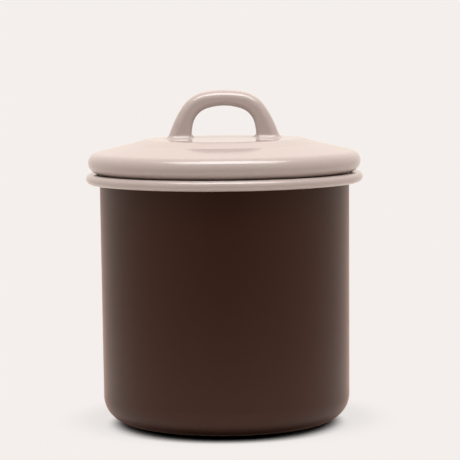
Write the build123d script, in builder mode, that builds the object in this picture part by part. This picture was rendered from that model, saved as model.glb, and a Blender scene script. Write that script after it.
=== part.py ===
from build123d import *
import os
from math import acos, asin, cos, degrees, radians, sin, sqrt

# Enamelled steel storage jar with a lift-off lid.
# The origin is the centre of the base, on the surface that the jar stands on. +Z is up and the
# loop of the lid's handle lies along X. Lengths are in millimetres and angles in degrees.

# Jar body, pressed from one sheet
wall_radius = 60.0  # outside of the wall, just under the rim
rim_height = 120.05  # top of the rim above the table
wall = 1.0  # steel with its outer enamel
lining = 0.25  # inner enamel
wall_lean = 0.25  # draft of the wall
base_corner_radius = 12.7  # outside of the rounded foot of the wall
foot_ring_width = 5.0  # flat ring that the jar stands on
base_recess = 1.5  # lift of the base panel inside that ring
base_bend_radius = 3.0  # both bends of the step up to the panel

# Rolled rim
flare_radius = 2.5  # bend from the mouth to the flat top that the lid lies on
bead_radius = 2.45
bead_gap = 1.7  # daylight between the roll and the wall
bead_turn = 266.0  # turn of the roll

# Lid
lid_inset = 1.05  # the lid's edge lies this far inside the rim's edge
lid_sheet = 1.25
seat_gap = 0.15  # between the lid's edge and the rim that it lies on
lid_edge_radius = 5.1  # rounded edge of the lid
lid_edge_tuck = 20.0  # turn of the edge past its lowest point
flank_foot_slope = 14.0  # slope of the lid where it meets its rounded edge
flank_top_slope = 11.8  # slope of the lid under the step round its crown
step_slope = 16.2  # slope of that step
step_width = 7.6  # straight run of that step, between its two bends
step_bend_radius = 7.0
crown_margin = 10.0  # crown left outside the handle's feet
crown_rise = 0.7

# Locating collar under the lid
collar_clearance = 0.8  # play in the mouth, all round
collar_depth = 11.4  # reach below the top of the rim
collar_sheet = 1.0
collar_bend_radius = 2.5
collar_flange_length = 6.0
collar_hem_radius = 2.0
collar_hem_turn = 70.0

# Handle, a strap pressed to a channel and bent to an arch
handle_rise = 22.57  # above the middle of the crown
handle_depth = 17.0  # across the strap
handle_sheet = 1.4
strap_height = 7.3  # height of the channel at the top of the arch
handle_half_span = 27.0  # outside of a foot from the middle
arch_top_radius = 54.0
arch_top_turn = 9.0
arch_shoulder_radius = 17.0
arch_shoulder_turn = 47.0
loop_half_width = 15.5  # finger gap between the feet
loop_top_radius = 25.5
loop_top_turn = 19.0
loop_shoulder_radius = 9.8
loop_shoulder_turn = 54.0
handle_outer_edge_radius = 3.8
handle_inner_edge_radius = 2.4
handle_lip = 4.0  # width of the lips turned in along the finger gap

# Places worked out from the sizes above
lean = radians(wall_lean)
mouth_radius = wall_radius - (wall + lining) / cos(lean)
rim_sheet = wall_radius - mouth_radius

flare_centre_radius = mouth_radius + flare_radius
seam_height = rim_height - flare_radius
bead_centre_radius = wall_radius + bead_gap + bead_radius

corner_centre_radius = wall_radius - (
    base_corner_radius + (seam_height - base_corner_radius) * sin(lean)
) / cos(lean)
base_bend_turn = degrees(acos(1 - base_recess / (2 * base_bend_radius)))
panel_radius = (
    corner_centre_radius
    - foot_ring_width
    - 2 * base_bend_radius * sin(radians(base_bend_turn))
)

lid_radius = bead_centre_radius + bead_radius - lid_inset
lid_edge_centre_radius = lid_radius - lid_edge_radius
# The lid's edge lies on the rim's flat top or, where its middle is inside that, on the flare
inside_flat = max(flare_centre_radius - lid_edge_centre_radius, 0)
seat_reach = lid_edge_radius + seat_gap + flare_radius
lid_edge_centre_height = seam_height + sqrt(seat_reach**2 - inside_flat**2)

crown_edge_radius = handle_half_span + crown_margin
crown_radius = (crown_edge_radius**2 + crown_rise**2) / (2 * crown_rise)
crown_slope = degrees(asin(crown_edge_radius / crown_radius))
sin_crown, cos_crown = sin(radians(crown_slope)), cos(radians(crown_slope))
sin_step, cos_step = sin(radians(step_slope)), cos(radians(step_slope))
sin_top, cos_top = sin(radians(flank_top_slope)), cos(radians(flank_top_slope))
sin_foot, cos_foot = sin(radians(flank_foot_slope)), cos(radians(flank_foot_slope))
flank_top_radius = (
    crown_edge_radius + step_bend_radius * (2 * sin_step - sin_crown - sin_top) + step_width
)
flank_foot_radius = lid_edge_centre_radius + lid_edge_radius * sin_foot
flank_radius = (flank_foot_radius - flank_top_radius) / (sin_foot - sin_top)
flank_top_height = (
    lid_edge_centre_height + lid_edge_radius * cos_foot + flank_radius * (cos_top - cos_foot)
)
crown_edge_height = (
    flank_top_height
    + step_bend_radius * (cos_crown + cos_top - 2 * cos_step)
    + step_width * sin_step / cos_step
)
crown_height = crown_edge_height + crown_rise

collar_radius = mouth_radius - collar_clearance
collar_bottom = rim_height - collar_depth
flank_centre_radius = flank_top_radius - flank_radius * sin_top
flank_centre_height = flank_top_height - flank_radius * cos_top
flange_radius = flank_radius - lid_sheet
bend_centre_reach = collar_radius - collar_bend_radius - flank_centre_radius
flange_foot_slope = degrees(asin(bend_centre_reach / (flange_radius - collar_bend_radius)))
flange_turn = degrees(collar_flange_length / flange_radius)
flange_top_slope = flange_foot_slope - flange_turn

handle_top = crown_height + handle_rise
loop_top = handle_top - strap_height
foot_height = crown_edge_height - lid_sheet  # the legs run into the crown before they are trimmed to it


def run_of_arcs(start, heading, arcs):
    """Tangent arcs one after another, each a radius and a turn, with left turns positive. Gives the last."""
    point, direction = start, heading
    for radius, turn in arcs:
        arc = JernArc(start=point, tangent=direction, radius=radius, arc_size=turn)
        point, direction = arc @ 1, arc % 1
    return arc


def cup_skin(inset):
    """Outline of the cup from the axis to the rim's seam, at a depth into its sheet."""
    start = Vector(0, base_recess + inset)
    step = Vector(panel_radius, base_recess + inset)
    Line(start, step)
    bends = [(base_bend_radius + inset, -base_bend_turn), (base_bend_radius - inset, base_bend_turn)]
    down = run_of_arcs(step, (1, 0), bends)
    foot = Vector(corner_centre_radius, inset)
    Line(down @ 1, foot)
    corner = run_of_arcs(foot, (1, 0), [(base_corner_radius - inset, 90 - wall_lean)])
    end = Vector(wall_radius - inset / cos(lean), seam_height)
    Line(corner @ 1, end)
    return start, end


def rim_skin(inset):
    """Outline of the rolled rim from the seam over its flat top to the end of the roll."""
    start = Vector(mouth_radius + inset, seam_height)
    flare = run_of_arcs(start, (0, 1), [(flare_radius - inset, -90)])
    flat_end = Vector(bead_centre_radius, rim_height - inset)
    Line(flare @ 1, flat_end)
    roll = run_of_arcs(flat_end, (1, 0), [(bead_radius - inset, -bead_turn)])
    return start, roll @ 1


def lid_skin(inset):
    """Outline of the lid from the axis over its crown and flank to the end of its rounded edge."""
    start = Vector(0, crown_height - inset)
    crown = [(crown_radius - inset, -crown_slope), (step_bend_radius - inset, crown_slope - step_slope)]
    bend = run_of_arcs(start, (1, 0), crown)
    step_end = bend @ 1 + Vector(step_width, -step_width * sin_step / cos_step)
    Line(bend @ 1, step_end)
    flank = [
        (step_bend_radius + inset, step_slope - flank_top_slope),
        (flank_radius - inset, flank_top_slope - flank_foot_slope),
        (lid_edge_radius - inset, flank_foot_slope - 180 - lid_edge_tuck),
    ]
    return start, run_of_arcs(step_end, bend % 1, flank) @ 1


def collar_skin(inset):
    """Outline of the collar from its flange under the lid to its turned-in hem."""
    slope = radians(flange_top_slope)
    start = Vector(
        flank_centre_radius + (flange_radius - inset) * sin(slope),
        flank_centre_height + (flange_radius - inset) * cos(slope),
    )
    arcs = [(flange_radius - inset, -flange_turn), (collar_bend_radius - inset, flange_foot_slope - 90)]
    bend = run_of_arcs(start, (cos(slope), -sin(slope)), arcs)
    band_bottom = Vector(collar_radius - inset, collar_bottom + collar_hem_radius)
    Line(bend @ 1, band_bottom)
    hem = run_of_arcs(band_bottom, (0, -1), [(collar_hem_radius - inset, -collar_hem_turn)])
    return start, hem @ 1


def sheet_outline(skin, shallow, deep):
    """Closed outline of a sheet between two depths of its skin."""
    upper_start, upper_end = skin(shallow)
    lower_start, lower_end = skin(deep)
    Line(upper_start, lower_start)
    Line(upper_end, lower_end)


def arch_outline(top, half_width, arcs):
    """Closed outline under an arch: arcs from its top, one more to its foot, and their mirror image."""
    foot = Vector(half_width, foot_height)
    shoulder = run_of_arcs(Vector(0, top), (1, 0), arcs)
    TangentArc(shoulder @ 1, foot, tangent=shoulder % 1)
    Line(foot, (0, foot_height))
    mirror(about=Plane.YZ)


def handle_outline(inset):
    """Outside of the handle's arch, at a depth into its sheet."""
    arcs = [
        (arch_top_radius - inset, -arch_top_turn),
        (arch_shoulder_radius - inset, -arch_shoulder_turn),
    ]
    arch_outline(handle_top - inset, handle_half_span - inset, arcs)


def loop_outline(growth):
    """Finger gap under the handle, grown into the sheet round it."""
    arcs = [
        (loop_top_radius + growth, -loop_top_turn),
        (loop_shoulder_radius + growth, -loop_shoulder_turn),
    ]
    arch_outline(loop_top + growth, loop_half_width + growth, arcs)


with BuildPart() as jar_body:
    with BuildSketch(Plane.XZ):
        with BuildLine():
            sheet_outline(cup_skin, 0, wall)
        make_face()
    revolve(axis=Axis.Z)

with BuildPart() as inner_lining:
    with BuildSketch(Plane.XZ):
        with BuildLine():
            sheet_outline(cup_skin, wall, wall + lining)
        make_face()
    revolve(axis=Axis.Z)

with BuildPart() as rolled_rim:
    with BuildSketch(Plane.XZ):
        with BuildLine():
            sheet_outline(rim_skin, 0, rim_sheet)
        make_face()
    revolve(axis=Axis.Z)

with BuildPart() as lid_shell:
    with BuildSketch(Plane.XZ):
        with BuildLine():
            sheet_outline(lid_skin, 0, lid_sheet)
        make_face()
    revolve(axis=Axis.Z)

with BuildPart() as lid_collar:
    with BuildSketch(Plane.XZ):
        with BuildLine():
            sheet_outline(collar_skin, 0, collar_sheet)
        make_face()
    revolve(axis=Axis.Z)

# Hollow of the handle's channel: the space inside its sheet, and the slot between its lips
with BuildPart() as handle_hollow:
    with BuildSketch(Plane.XZ):
        with BuildLine():
            handle_outline(handle_sheet)
        make_face()
    extrude(amount=handle_depth / 2 - handle_sheet, both=True)
    fillet(handle_hollow.edges().filter_by(GeomType.CIRCLE), handle_outer_edge_radius - handle_sheet)
    with BuildSketch(Plane.XZ):
        with BuildLine():
            loop_outline(handle_sheet)
        make_face()
    extrude(amount=handle_depth / 2, both=True, mode=Mode.SUBTRACT)
    with BuildSketch(Plane.XZ):
        with BuildLine():
            loop_outline(handle_sheet)
        make_face()
    extrude(amount=handle_depth / 2 - handle_lip, both=True)

with BuildPart() as lid_handle:
    with BuildSketch(Plane.XZ):
        with BuildLine():
            handle_outline(0)
        make_face()
    extrude(amount=handle_depth / 2, both=True)
    fillet(lid_handle.edges().filter_by(GeomType.CIRCLE), handle_outer_edge_radius)

    # The finger gap, with its edges rounded into the lips
    with BuildSketch(Plane.XZ):
        with BuildLine():
            loop_outline(0)
        make_face()
    extrude(amount=handle_depth / 2, both=True, mode=Mode.SUBTRACT)
    loop_edges = lid_handle.edges(Select.LAST).filter_by(GeomType.CIRCLE)
    fillet(loop_edges, handle_inner_edge_radius)
    add(handle_hollow.part, mode=Mode.SUBTRACT)

    # The feet are trimmed to the crown that they are welded to
    with BuildSketch(Plane.XZ):
        with BuildLine():
            crown_middle, edge_end = lid_skin(0)
            Line(edge_end, (0, edge_end.Y))
            Line((0, edge_end.Y), crown_middle)
        make_face()
    revolve(axis=Axis.Z, mode=Mode.SUBTRACT)

pieces = {
    "jar_body": jar_body,
    "inner_lining": inner_lining,
    "rolled_rim": rolled_rim,
    "lid_shell": lid_shell,
    "lid_collar": lid_collar,
    "lid_handle": lid_handle,
}
os.makedirs("parts", exist_ok=True)
for name, piece in pieces.items():
    piece.part.label = name
    export_step(piece.part, f"parts/{name}.step")
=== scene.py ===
from math import acos, asin, atan2, ceil, cos, degrees, pi, radians, sin, sqrt

import bpy
from mathutils import Matrix, Vector


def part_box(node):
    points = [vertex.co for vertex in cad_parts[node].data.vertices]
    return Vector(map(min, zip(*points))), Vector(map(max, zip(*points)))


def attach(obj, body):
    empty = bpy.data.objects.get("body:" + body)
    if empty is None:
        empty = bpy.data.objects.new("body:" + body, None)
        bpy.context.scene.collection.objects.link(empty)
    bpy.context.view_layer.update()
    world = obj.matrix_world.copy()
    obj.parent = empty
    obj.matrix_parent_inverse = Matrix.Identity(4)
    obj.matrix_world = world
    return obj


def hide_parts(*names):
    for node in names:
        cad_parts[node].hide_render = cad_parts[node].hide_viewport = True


# Enamelled steel storage jar with a lift-off lid. Lengths are in metres and angles in degrees.
# +Z is up, the loop of the lid's handle lies along X and the photographed side faces -Y.
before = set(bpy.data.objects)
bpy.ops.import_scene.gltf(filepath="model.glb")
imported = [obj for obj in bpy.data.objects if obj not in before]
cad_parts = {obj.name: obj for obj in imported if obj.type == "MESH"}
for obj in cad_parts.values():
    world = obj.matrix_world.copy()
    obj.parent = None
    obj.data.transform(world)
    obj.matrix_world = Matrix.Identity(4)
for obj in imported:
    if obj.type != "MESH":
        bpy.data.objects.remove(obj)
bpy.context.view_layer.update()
mm = 0.001

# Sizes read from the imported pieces
wall_radius, seam_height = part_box("jar_body")[1].xz
rim_radius, rim_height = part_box("rolled_rim")[1].xz
lid_radius, crown_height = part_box("lid_shell")[1].xz
collar_radius, collar_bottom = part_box("lid_collar")[1].x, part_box("lid_collar")[0].z
handle_half_depth, handle_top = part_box("lid_handle")[1].yz

# Jar body
wall = 1.0 * mm
lining = 0.25 * mm
wall_lean = 0.25
base_corner_radius = 12.7 * mm
foot_ring_width = 5.0 * mm
base_recess = 1.5 * mm
base_bend_radius = 3.0 * mm

# Rolled rim
bead_radius = 2.45 * mm
bead_turn = 266.0

# Lid
lid_sheet = 1.25 * mm
lid_edge_radius = 5.1 * mm
lid_edge_tuck = 20.0
flank_foot_slope = 14.0
flank_top_slope = 11.8
step_slope = 16.2
step_width = 7.6 * mm
step_bend_radius = 7.0 * mm
crown_edge_radius = 37.0 * mm
crown_rise = 0.7 * mm

# Locating collar under the lid
collar_sheet = 1.0 * mm
collar_bend_radius = 2.5 * mm
collar_flange_length = 6.0 * mm
collar_hem_radius = 2.0 * mm
collar_hem_turn = 70.0

# Handle
handle_sheet = 1.4 * mm
strap_height = 7.3 * mm
handle_half_span = 27.0 * mm
arch_arcs = [(54.0 * mm, 9.0), (17.0 * mm, 47.0)]
loop_half_width = 15.5 * mm
loop_arcs = [(25.5 * mm, 19.0), (9.8 * mm, 54.0)]
handle_outer_edge_radius = 3.8 * mm
handle_inner_edge_radius = 2.4 * mm
handle_lip = 4.0 * mm
foot_fillet = 2.0 * mm  # enamel drawn up round the feet
foot_sink = 0.02 * mm

# Fineness of the meshes
around = 192
longest_line_step = 6.0 * mm
longest_arc_step = 1.2 * mm
widest_arc_turn = 5.0
edge_round_steps = 8
arch_steps = (8, 16, 26)
section_turn_steps = 12
lip_steps = 2
side_steps = 4
top_steps = 8
fillet_steps = 6
hair = 0.005 * mm  # places closer than this are one place

# Camera, fitted to the outlines in the photograph
camera_place = (0.0, -1092.5 * mm, 189.64 * mm)
camera_pitch = 5.111
camera_yaw = 0.127
camera_roll = 0.609
camera_lens = 177.79
camera_sensor = 36.0

# Colours, as linear red, green and blue
background_colour = (0.905, 0.863, 0.838)
studio_colour = (0.97, 0.86, 0.78)
light_colour = (0.484, 0.410, 0.387)
brown_colour = (0.0287, 0.0090, 0.0051)
brown_glance_colour = (1.0, 0.72, 0.62)
brown_sheen_colour = (1.0, 0.60, 0.50)

# Fired enamel
drift_grain = (30.0 * mm, 2)  # size of its bumps, and how many levels of finer ones lie on them
gloss_grain = (8.0 * mm, 3)
peel_grain = (5.0 * mm, 1)
tooth_grain = (0.4 * mm, 2)
noise_span = (0.3, 0.7)  # most of a noise lies between these
brown_finish = {
    "colour": brown_colour,
    "drift_share": 0.01,
    "rough": (0.37, 0.39),
    "index": 1.42,
    "peel_depth": 0.006 * mm,
    "tooth_depth": 0.003 * mm,
}
light_finish = {
    "colour": light_colour,
    "drift_share": 0.008,
    "rough": (0.045, 0.06),
    "index": 1.7,
    "peel_depth": 0.003 * mm,
    "tooth_depth": 0.0003 * mm,
}
lining_finish = {
    "colour": light_colour,
    "drift_share": 0.012,
    "rough": (0.08, 0.11),
    "index": 1.7,
    "peel_depth": 0.005 * mm,
    "tooth_depth": 0.0005 * mm,
}
sheen_share = 0.5
sheen_roughness = 0.25

# Studio
softbox_panels = [  # width, depth, way of its middle to the camera, rise above the lid, radiance
    (1.50, 0.70, 0.27, 0.80, 0.45),
    (1.15, 0.50, 0.335, 0.78, 2.8),
    (0.80, 0.46, 0.335, 0.76, 1.2),
    (0.40, 0.42, 0.335, 0.74, 1.2),
]
softbox_side = 0.03  # how far right of the jar its middle hangs
studio_front_share = 0.06
studio_back_share = 0.97
studio_curve = 0.42  # under 1 for a narrow dark front
studio_glow = 0.45  # extra light from the back, between the horizon and overhead
floor_radius = 1.2
floor_fade = (0.10, 0.40)  # where the lit part of the table ends
painted_shade_reach = (48.0 * mm, 62.0 * mm)  # painted shade: the table's colour is black inside the first reach from the jar's axis and full past the second
floor_drop = 0.05 * mm
# Shadows painted on the table's glow as the camera sees it, from ambient occlusion
painted_table_shadows = [  # reach, middle of its sky, shares of open sky where it is deepest and ends, light left
    (22.0 * mm, (0.0, 0.88, 0.475), (0.32, 0.64), 0.0),
    (30.0 * mm, (0.0, -0.2, 0.98), (0.55, 1.0), 0.88),
]
shadow_samples = 32


class Run:
    """Points and headings along straight lines and tangent arcs in a plane. Left turns are positive."""

    def __init__(self, start, heading):
        self.points = [Vector(start)]
        self.headings = [heading]

    def add(self, point, heading):
        self.points.append(point)
        self.headings.append(heading)

    def line(self, length, steps=None):
        start, heading = self.points[-1], self.headings[-1]
        steps = steps or max(1, ceil(length / longest_line_step))
        for step in range(1, steps + 1):
            self.add(start + along(heading) * length * step / steps, heading)
        return self

    def arc(self, radius, turn, steps=None):
        start, heading = self.points[-1], self.headings[-1]
        by_length = ceil(radius * radians(abs(turn)) / longest_arc_step)
        steps = steps or max(ceil(abs(turn) / widest_arc_turn), by_length)
        reach = radius if turn > 0 else -radius
        centre = start + left_of(heading) * reach
        for step in range(1, steps + 1):
            turned = heading + turn * step / steps
            self.add(centre - left_of(turned) * reach, turned)
        return self

    def arc_to(self, point, steps=None):
        chord = Vector(point) - self.points[-1]
        half_turn = degrees(atan2(chord.y, chord.x)) - self.headings[-1]
        radius = chord.length / 2 / abs(sin(radians(half_turn)))
        return self.arc(radius, 2 * half_turn, steps)

    def skin(self, depth):
        """The run moved to its right by a depth, as points with the directions that face left."""
        return [
            (point - left_of(heading) * depth, left_of(heading))
            for point, heading in zip(self.points, self.headings)
        ]


def sine(angle):
    return sin(radians(angle))


def cosine(angle):
    return cos(radians(angle))


def along(heading):
    return Vector((cosine(heading), sine(heading)))


def left_of(heading):
    return along(heading + 90)


def flipped(skin):
    """A skin seen from its other side, in the opposite order."""
    return [(point, -facing) for point, facing in reversed(skin)]


def rounded_edge(point, heading, thickness):
    """Half round that closes a sheet's edge, from its left skin to its right one."""
    centre = point - left_of(heading) * thickness / 2
    turns = [90 - 180 * step / edge_round_steps for step in range(1, edge_round_steps)]
    return [
        (centre + along(heading + turn) * thickness / 2, along(heading + turn)) for turn in turns
    ]


def cut_edge(from_skin, to_skin, heading):
    """Square end of a sheet between two skins."""
    return [(from_skin[0], along(heading)), (to_skin[0], along(heading))]


# Places on the lid worked out from its sizes
crown_radius = (crown_edge_radius**2 + crown_rise**2) / (2 * crown_rise)
crown_slope = degrees(asin(crown_edge_radius / crown_radius))
crown_edge_height = crown_height - crown_rise
bends_run = step_bend_radius * (2 * sine(step_slope) - sine(crown_slope) - sine(flank_top_slope))
bends_drop = step_bend_radius * (cosine(crown_slope) + cosine(flank_top_slope) - 2 * cosine(step_slope))
step_length = step_width / cosine(step_slope)
flank_top = Vector((
    crown_edge_radius + bends_run + step_width,
    crown_edge_height - bends_drop - step_length * sine(step_slope),
))
flank_foot_radius = lid_radius - lid_edge_radius * (1 - sine(flank_foot_slope))
flank_radius = (flank_foot_radius - flank_top.x) / (sine(flank_foot_slope) - sine(flank_top_slope))
flank_centre = flank_top - left_of(-flank_top_slope) * flank_radius


def lathe(name, outline, closed):
    """Mesh of an outline turned about Z. Points that follow at the same place make a sharp corner."""
    corners = list(zip(outline, outline[1:] + outline[:1] if closed else outline[1:]))
    vertices, rings = [], []
    for index, (point, _) in enumerate(outline):
        if index and (point - outline[index - 1][0]).length < hair:
            rings.append(rings[-1])
            continue
        count = 1 if point.x < hair else around
        rings.append([len(vertices) + step % count for step in range(around)])
        for step in range(count):
            angle = 2 * pi * step / around
            vertices.append((point.x * cos(angle), point.x * sin(angle), point.y))
    faces, normals = [], []
    for index, ((_, facing), (_, next_facing)) in enumerate(corners):
        ring, next_ring = rings[index], rings[(index + 1) % len(rings)]
        if ring[:2] == next_ring[:2]:
            continue
        for step in range(around):
            after = (step + 1) % around
            loop = [
                (ring[step], facing, step),
                (next_ring[step], next_facing, step),
                (next_ring[after], next_facing, step + 1),
                (ring[after], facing, step + 1),
            ]
            if ring[step] == ring[after]:
                loop.pop()
            if next_ring[step] == next_ring[after]:
                loop.pop(2)
            faces.append([vertex for vertex, _, _ in loop])
            for _, direction, turn in loop:
                angle = 2 * pi * turn / around
                normals.append((direction.x * cos(angle), direction.x * sin(angle), direction.y))
    mesh = bpy.data.meshes.new(name)
    mesh.from_pydata(vertices, [], faces)
    mesh.shade_smooth()
    mesh.normals_split_custom_set(normals)
    return bpy.data.objects.new(name, mesh)


def dress(piece, body, node, material):
    """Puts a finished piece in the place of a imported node."""
    bpy.context.scene.collection.objects.link(piece)
    piece.data.materials.append(material)
    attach(piece, body)
    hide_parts(node)


def cup_run():
    """Outside of the cup from the rim's seam down to the middle of its base."""
    lean = radians(wall_lean)
    rise = seam_height - base_corner_radius
    wall_length = (rise + base_corner_radius * sin(lean)) / cos(lean)
    bend_turn = degrees(acos(1 - base_recess / (2 * base_bend_radius)))
    run = Run((wall_radius, seam_height), -90 - wall_lean)
    run.line(wall_length).arc(base_corner_radius, wall_lean - 90).line(foot_ring_width)
    run.arc(base_bend_radius, -bend_turn).arc(base_bend_radius, bend_turn)
    return run.line(run.points[-1].x)


def jar_body():
    run = cup_run()
    outside, inside = run.skin(0), flipped(run.skin(wall))
    return lathe("jar_body_shell", outside + inside + cut_edge(inside[-1], outside[0], 90), True)


def inner_lining():
    run = cup_run()
    outside, inside = run.skin(wall), flipped(run.skin(wall + lining))
    return lathe("inner_enamel", outside + inside + cut_edge(inside[-1], outside[0], 90), True)


def rolled_rim():
    """Flare, flat top and roll of the jar's edge, from the seam inside the mouth to the end of the roll."""
    sheet = (wall + lining) / cosine(wall_lean)
    mouth_radius = wall_radius - sheet
    flare_radius = rim_height - seam_height
    run = Run((mouth_radius, seam_height), 90)
    run.arc(flare_radius, -90).line(rim_radius - bead_radius - mouth_radius - flare_radius)
    run.arc(bead_radius, -bead_turn)
    outside, inside = run.skin(0), flipped(run.skin(sheet))
    end = rounded_edge(run.points[-1], run.headings[-1], sheet)
    outline = outside + end + inside + cut_edge(inside[-1], outside[0], -90)
    return lathe("rolled_rim_bead", outline, True)


def lid_run():
    """Outside of the lid from the middle of its crown to the end of its rounded edge."""
    run = Run((0, crown_height), 0)
    run.arc(crown_radius, -crown_slope)
    run.arc(step_bend_radius, crown_slope - step_slope).line(step_length)
    run.arc(step_bend_radius, step_slope - flank_top_slope)
    run.arc(flank_radius, flank_top_slope - flank_foot_slope)
    return run.arc(lid_edge_radius, flank_foot_slope - 180 - lid_edge_tuck)


def lid_shell():
    run = lid_run()
    end = rounded_edge(run.points[-1], run.headings[-1], lid_sheet)
    return lathe("lid_cover", run.skin(0) + end + flipped(run.skin(lid_sheet)), False)


def lid_collar():
    """Ring under the lid: a flange against the flank, the band that enters the mouth and its hem."""
    flange_radius = flank_radius - lid_sheet
    bend_reach = collar_radius - collar_bend_radius - flank_centre.x
    foot_slope = degrees(asin(bend_reach / (flange_radius - collar_bend_radius)))
    flange_turn = degrees(collar_flange_length / flange_radius)
    top_slope = foot_slope - flange_turn
    run = Run(flank_centre + left_of(-top_slope) * flange_radius, -top_slope)
    run.arc(flange_radius, -flange_turn).arc(collar_bend_radius, foot_slope - 90)
    run.line(run.points[-1].y - collar_bottom - collar_hem_radius)
    run.arc(collar_hem_radius, -collar_hem_turn)
    outside, inside = run.skin(0), flipped(run.skin(collar_sheet))
    end = rounded_edge(run.points[-1], run.headings[-1], collar_sheet)
    start = rounded_edge(inside[-1][0], run.headings[0] + 180, collar_sheet)
    return lathe("lid_collar_ring", outside + end + inside + start, True)


def arch_half(top, half_width, foot, arcs):
    """Half of an arch, from the middle of its top to its foot."""
    run = Run((0, top), 0)
    for (radius, turn), steps in zip(arcs, arch_steps):
        run.arc(radius, -turn, steps)
    return run.arc_to((half_width, foot), arch_steps[-1]).points


def handle_section(height):
    """Channel section as places across the strap and above the finger gap, with the way each faces.

    The third number says how much of the feet's fillet a place takes: all outside and none inside.
    """
    inner, outer = handle_inner_edge_radius, handle_outer_edge_radius
    side = height - inner - outer
    run = Run((handle_lip - handle_half_depth, 0), 180)
    run.line(handle_lip - inner, lip_steps).arc(inner, -90, section_turn_steps).line(side, side_steps)
    run.arc(outer, -90, section_turn_steps).line(2 * (handle_half_depth - outer), top_steps)
    run.arc(outer, -90, section_turn_steps).line(side, side_steps).arc(inner, -90, section_turn_steps)
    run.line(handle_lip - inner, lip_steps)
    outside, inside = run.skin(0), flipped(run.skin(handle_sheet))
    end = rounded_edge(run.points[-1], run.headings[-1], handle_sheet)
    start = rounded_edge(inside[-1][0], run.headings[0] + 180, handle_sheet)
    fade = [1 - (step + 1) / edge_round_steps for step in range(len(end))]
    shares = [1] * len(outside) + fade + [0] * len(inside) + fade[::-1]
    return list(zip(outside + end + inside + start, shares))


def crown_at(place):
    """Height of the lid's crown under a place."""
    return crown_height - crown_radius + sqrt(crown_radius**2 - place.x**2 - place.y**2)


def handle_rings():
    """Rings of the handle from one foot to the other, each a list of places, directions and fillet shares."""
    foot_height = crown_edge_height - lid_sheet
    outer = arch_half(handle_top, handle_half_span, foot_height, arch_arcs)
    inner = arch_half(handle_top - strap_height, loop_half_width, foot_height, loop_arcs)
    rings = []
    for low, high in zip(inner, outer):
        up = high - low
        ring = []
        for (place, facing), share in handle_section(up.length):
            spot = low + up.normalized() * place.y
            direction = up.normalized() * facing.y
            ring.append((Vector((spot.x, place.x, spot.y)), Vector((direction.x, facing.x, 0)), share))
        if min(spot.z - crown_at(spot) for spot, _, _ in ring) < foot_fillet:
            break
        rings.append(ring)
    return rings + foot_rings(rings[-2], rings[-1])


def foot_rings(before, last):
    """Rings that carry a leg on to the crown, with the enamel's fillet round it."""
    rings = []
    for step in range(fillet_steps + 1):
        turn = radians(90 * step / fillet_steps)
        rise, spread = foot_fillet * (1 - sin(turn)), foot_fillet * (1 - cos(turn))
        ring = []
        for (spot_before, _, _), (spot, direction, share) in zip(before, last):
            course = (spot - spot_before) / (spot_before.z - spot.z)
            landed = spot + course * (spot.z - crown_at(spot) - rise)
            landed += direction * spread * share
            landed.z = crown_at(landed) + rise - foot_sink * (step == fillet_steps)
            ring.append((landed, direction, share))
        rings.append(ring)
    return rings


def lid_handle():
    """Arched channel with lips along the finger gap and feet on the crown."""
    half = [[spot for spot, _, _ in ring] for ring in handle_rings()]
    mirrored = [[Vector((-spot.x, spot.y, spot.z)) for spot in ring] for ring in half[:0:-1]]
    rings = mirrored + half
    count = len(half[0])
    vertices = [spot for ring in rings for spot in ring]
    faces = []
    for first in range(0, len(vertices) - count, count):
        for place in range(count):
            after = (place + 1) % count
            faces.append((first + place, first + after, first + count + after, first + count + place))
    last = len(vertices) - count
    faces.append(list(range(count))[::-1])
    faces.append([last + place for place in range(count)])
    mesh = bpy.data.meshes.new("lid_handle_loop")
    mesh.from_pydata(vertices, [], faces)
    mesh.shade_smooth()
    for foot in mesh.polygons[-2:]:
        foot.use_smooth = False
    return bpy.data.objects.new("lid_handle_loop", mesh)


def new_node(tree, kind, **values):
    """Adds a node, with its input values by socket name, where _ stands for a space."""
    made = tree.nodes.new(kind)
    for name, value in values.items():
        made.inputs[name.replace("_", " ")].default_value = value
    return made


def maths(tree, operation, *values):
    """Result of a sum on sockets and numbers."""
    made = tree.nodes.new("ShaderNodeMath")
    made.operation = operation
    for socket, value in zip(made.inputs, values):
        if isinstance(value, bpy.types.NodeSocket):
            tree.links.new(value, socket)
        else:
            socket.default_value = value
    return made.outputs["Value"]


def grain(tree, size, detail):
    """Noise with bumps of about a size, fixed to the piece."""
    place = tree.nodes.new("ShaderNodeTexCoord")
    noise = new_node(tree, "ShaderNodeTexNoise", Scale=1 / size, Detail=detail)
    tree.links.new(place.outputs["Object"], noise.inputs["Vector"])
    return noise.outputs["Fac"]


def ranged(tree, value, low, high):
    """A noise value spread between two limits."""
    least, most = noise_span
    spread = new_node(tree, "ShaderNodeMapRange", From_Min=least, From_Max=most, To_Min=low, To_Max=high)
    tree.links.new(value, spread.inputs["Value"])
    return spread.outputs["Result"]


def tinted(tree, value, colour, change):
    """A colour that drifts lighter and darker with a noise value."""
    mix = tree.nodes.new("ShaderNodeMix")
    mix.data_type = "RGBA"
    mix.inputs["A"].default_value = (*[channel * (1 - change) for channel in colour], 1)
    mix.inputs["B"].default_value = (*[channel * (1 + change) for channel in colour], 1)
    tree.links.new(ranged(tree, value, 0, 1), mix.inputs["Factor"])
    return mix.outputs["Result"]


def bumped(tree, height, depth, below=None):
    """A bump of some depth, laid over another one if given."""
    bump = new_node(tree, "ShaderNodeBump", Distance=depth)
    tree.links.new(height, bump.inputs["Height"])
    if below:
        tree.links.new(below, bump.inputs["Normal"])
    return bump.outputs["Normal"]


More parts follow.
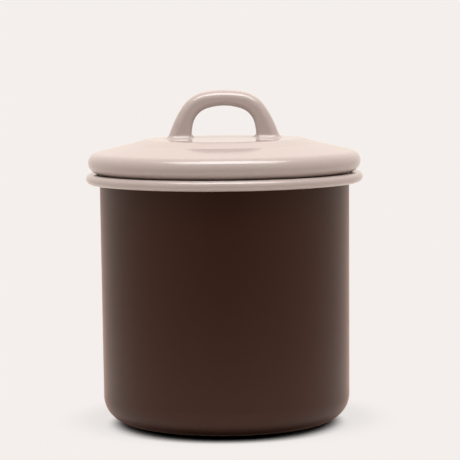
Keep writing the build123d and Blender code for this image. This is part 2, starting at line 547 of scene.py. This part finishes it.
def enamel(name, colour, drift_share, rough, index, peel_depth, tooth_depth):
    """Fired enamel: a drifting colour, a gloss that varies, a soft peel and a fine tooth."""
    made = bpy.data.materials.new(name)
    made.use_nodes = True
    tree = made.node_tree
    shader = tree.nodes["Principled BSDF"]
    shader.inputs["IOR"].default_value = index
    tree.links.new(tinted(tree, grain(tree, *drift_grain), colour, drift_share), shader.inputs["Base Color"])
    tree.links.new(ranged(tree, grain(tree, *gloss_grain), *rough), shader.inputs["Roughness"])
    peel_bump = bumped(tree, grain(tree, *peel_grain), peel_depth)
    tooth_bump = bumped(tree, grain(tree, *tooth_grain), tooth_depth, peel_bump)
    tree.links.new(tooth_bump, shader.inputs["Normal"])
    return made


def brown_enamel():
    """Satin brown enamel with a warm glance and a soft bloom towards its outline."""
    made = enamel("brown_enamel", **brown_finish)
    sockets = made.node_tree.nodes["Principled BSDF"].inputs
    sockets["Specular Tint"].default_value = (*brown_glance_colour, 1)
    sockets["Sheen Weight"].default_value = sheen_share
    sockets["Sheen Roughness"].default_value = sheen_roughness
    sockets["Sheen Tint"].default_value = (*brown_sheen_colour, 1)
    return made


def painted_sky_shade(tree, reach, facing, shares, least):
    """Painted shade for the table's glow where the jar hides a part of the sky, from the least level up to 1.
    """
    x, y, z = facing
    way = new_node(tree, "ShaderNodeCombineXYZ", X=x, Y=y, Z=z)
    sky = new_node(tree, "ShaderNodeAmbientOcclusion", Distance=reach)
    sky.samples = shadow_samples
    light = new_node(tree, "ShaderNodeMapRange", From_Min=shares[0], From_Max=shares[1], To_Min=least)
    light.interpolation_type = "SMOOTHSTEP"
    tree.links.new(way.outputs["Vector"], sky.inputs["Normal"])
    tree.links.new(sky.outputs["AO"], light.inputs["Value"])
    return light.outputs["Result"]


def table_material():
    """Table lit near the jar only, its colour darkened by painted shade near the jar's foot. The camera sees
    an even pale glow with the jar's shadows painted on it from ambient occlusion.
    """
    made = bpy.data.materials.new("table_top")
    made.use_nodes = True
    made.cycles.emission_sampling = "NONE"
    tree = made.node_tree
    tree.nodes.remove(tree.nodes["Principled BSDF"])
    pale = (*background_colour, 1)

    lit = tree.nodes.new("ShaderNodeBsdfDiffuse")
    clear = tree.nodes.new("ShaderNodeBsdfTransparent")
    place = tree.nodes.new("ShaderNodeTexCoord")
    reach = tree.nodes.new("ShaderNodeVectorMath")
    reach.operation = "LENGTH"
    # Painted shade: the table's lit colour darkens towards the jar's foot, standing in for the jar's own
    # shadow.
    painted_shade_rise = new_node(tree, "ShaderNodeMapRange", From_Min=painted_shade_reach[0], From_Max=painted_shade_reach[1])
    painted_shade_rise.interpolation_type = "SMOOTHSTEP"
    painted_shade_colour = tree.nodes.new("ShaderNodeVectorMath")
    painted_shade_colour.operation = "SCALE"
    painted_shade_colour.inputs["Vector"].default_value = background_colour
    fade = new_node(tree, "ShaderNodeMapRange", From_Min=floor_fade[0], From_Max=floor_fade[1])
    fade.interpolation_type = "SMOOTHSTEP"
    table = tree.nodes.new("ShaderNodeMixShader")
    tree.links.new(place.outputs["Object"], reach.inputs[0])
    tree.links.new(reach.outputs["Value"], painted_shade_rise.inputs["Value"])
    tree.links.new(painted_shade_rise.outputs["Result"], painted_shade_colour.inputs["Scale"])
    tree.links.new(painted_shade_colour.outputs["Vector"], lit.inputs["Color"])
    tree.links.new(reach.outputs["Value"], fade.inputs["Value"])
    tree.links.new(fade.outputs["Result"], table.inputs["Fac"])
    tree.links.new(lit.outputs["BSDF"], table.inputs[1])
    tree.links.new(clear.outputs["BSDF"], table.inputs[2])

    # Painted shadows: ambient occlusion dims the pale glow that the camera sees near the jar.
    painted_contact_shadow, painted_halo_shadow = [painted_sky_shade(tree, *shadow) for shadow in painted_table_shadows]
    ground = new_node(tree, "ShaderNodeEmission", Color=pale)
    path = tree.nodes.new("ShaderNodeLightPath")
    seen = tree.nodes.new("ShaderNodeMixShader")
    tree.links.new(maths(tree, "MULTIPLY", painted_contact_shadow, painted_halo_shadow), ground.inputs["Strength"])
    tree.links.new(path.outputs["Is Camera Ray"], seen.inputs["Fac"])
    tree.links.new(table.outputs["Shader"], seen.inputs[1])
    tree.links.new(ground.outputs["Emission"], seen.inputs[2])
    tree.links.new(seen.outputs["Shader"], tree.nodes["Material Output"].inputs["Surface"])
    return made


def floor():
    """Pale round table top that passes into the background."""
    mesh = bpy.data.meshes.new("table_top")
    turns = [2 * pi * step / around for step in range(around)]
    edge = [(floor_radius * cos(turn), floor_radius * sin(turn), -floor_drop) for turn in turns]
    mesh.from_pydata(edge, [], [list(range(around))])
    mesh.materials.append(table_material())
    made = bpy.data.objects.new("table_top", mesh)
    bpy.context.scene.collection.objects.link(made)


def studio():
    """Pale surroundings, dark on the photographer's side, and a softbox overhead, brightest in its middle."""
    world = bpy.data.worlds.new("studio")
    bpy.context.scene.world = world
    world.use_nodes = True
    tree = world.node_tree
    ground = tree.nodes["Background"]
    ground.inputs["Color"].default_value = (*background_colour, 1)
    room = new_node(tree, "ShaderNodeBackground", Color=(*studio_colour, 1))
    place = tree.nodes.new("ShaderNodeTexCoord")
    axes = tree.nodes.new("ShaderNodeSeparateXYZ")
    path = tree.nodes.new("ShaderNodeLightPath")
    seen = tree.nodes.new("ShaderNodeMixShader")
    back, up = axes.outputs["Y"], axes.outputs["Z"]
    from_front = maths(tree, "MULTIPLY_ADD", back, 0.5, 0.5)  # 0 at the front and 1 at the back
    way_back = maths(tree, "POWER", from_front, studio_curve)
    level = maths(tree, "MULTIPLY_ADD", way_back, studio_back_share - studio_front_share, studio_front_share)
    glow = maths(tree, "MULTIPLY", maths(tree, "MAXIMUM", back, 0), maths(tree, "MAXIMUM", up, 0))
    tree.links.new(place.outputs["Generated"], axes.inputs["Vector"])
    tree.links.new(maths(tree, "MULTIPLY_ADD", glow, studio_glow, level), room.inputs["Strength"])
    tree.links.new(path.outputs["Is Camera Ray"], seen.inputs["Fac"])
    tree.links.new(room.outputs["Background"], seen.inputs[1])
    tree.links.new(ground.outputs["Background"], seen.inputs[2])
    tree.links.new(seen.outputs["Shader"], tree.nodes["World Output"].inputs["Surface"])

    for width, depth, forward, rise, radiance in softbox_panels:
        lamp = bpy.data.lights.new("softbox", "AREA")
        lamp.shape = "RECTANGLE"
        lamp.size, lamp.size_y = width, depth
        lamp.energy = radiance * pi * width * depth
        panel = bpy.data.objects.new("softbox", lamp)
        panel.location = (softbox_side, -forward, crown_height + rise)
        panel.visible_camera = False
        bpy.context.scene.collection.objects.link(panel)


def camera():
    made = bpy.data.objects.new("camera", bpy.data.cameras.new("camera"))
    made.data.lens = camera_lens
    made.data.sensor_width = camera_sensor
    yaw = Matrix.Rotation(radians(-camera_yaw), 4, "Z")
    pitch = Matrix.Rotation(radians(90 - camera_pitch), 4, "X")
    roll = Matrix.Rotation(radians(-camera_roll), 4, "Z")
    made.matrix_world = Matrix.Translation(camera_place) @ yaw @ pitch @ roll
    bpy.context.scene.collection.objects.link(made)
    bpy.context.scene.camera = made


brown = brown_enamel()
light = enamel("light_enamel", **light_finish)
lining_coat = enamel("lining_enamel", **lining_finish)

dress(jar_body(), "jar", "jar_body", brown)
dress(inner_lining(), "jar", "inner_lining", lining_coat)
dress(rolled_rim(), "jar", "rolled_rim", light)
dress(lid_shell(), "lid", "lid_shell", light)
dress(lid_collar(), "lid", "lid_collar", light)
dress(lid_handle(), "lid", "lid_handle", light)

floor()
studio()
camera()
bpy.context.scene.view_settings.view_transform = "Standard"
